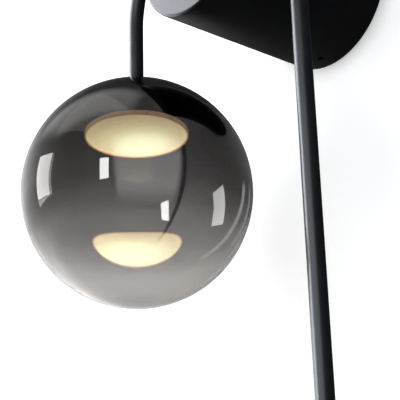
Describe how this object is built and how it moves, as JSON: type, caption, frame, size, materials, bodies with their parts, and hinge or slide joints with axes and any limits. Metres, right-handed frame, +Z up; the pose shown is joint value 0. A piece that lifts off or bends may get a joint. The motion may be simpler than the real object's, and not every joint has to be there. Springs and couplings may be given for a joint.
{
  "type": "globe wall sconce",
  "caption": "Wall light: smoked glass globe with a lit opal disc inside, hung from an arched black tube that lies over a round canopy, its long end hanging down.",
  "frame": {"origin": "canopy's axis at the wall, midway between the two wall screws", "axes": "+X right along the wall, +Y into the wall, +Z up"},
  "size_m": [0.238, 0.183, 0.4795],
  "materials": {
    "satin_black": "satin powder coat",
    "matt_black": "matt black anodised",
    "dark_steel": "blackened steel",
    "copper_trim": "copper coloured, satin",
    "opal": "opal acrylic, lit warm white",
    "smoked_glass": "smoked and metallised, darker at the top",
    "zinc_steel": "zinc plated",
    "spring_steel": "bright spring steel",
    "black_rubber": "matt",
    "clear_silicone": "translucent",
    "brass": "bare",
    "white_plastic": "moulded",
    "grey_cable": "flexible sheath",
    "bare_aluminium": "machined",
    "white_board": "white solder mask",
    "led_yellow": "phosphor"
  },
  "bodies": {
    "root": {"arm_nipple": "brass", "arm_stud": "brass", "arm_tube": "satin_black", "block_screws": "zinc_steel", "board_screws": "zinc_steel", "bracket_screws": "zinc_steel", "cable_grommet": "black_rubber", "canopy_shell": "satin_black", "cap_gasket": "clear_silicone", "clip_screws": "zinc_steel", "diffuser": "opal", "driver": "white_plastic", "driver_bracket": "zinc_steel", "driver_screws": "zinc_steel", "driver_tails": "grey_cable", "earth_screw": "brass", "earth_tag": "brass", "end_plug": "satin_black", "glass_clips": "spring_steel", "glass_globe": "smoked_glass", "globe_cap": "satin_black", "grub_screws": "dark_steel", "heat_sink": "bare_aluminium", "lead_plug": "white_plastic", "led_board": "white_board", "led_chips": "led_yellow", "led_housing": "matt_black", "led_lead": "grey_cable", "nipple_nut": "brass", "nipple_washer": "zinc_steel", "saddle_washer": "zinc_steel", "stud_nut": "zinc_steel", "terminal_block": "white_plastic", "terminal_screws": "brass", "trim_ring": "copper_trim", "wall_plate": "zinc_steel"}
  },
  "joints": []
}
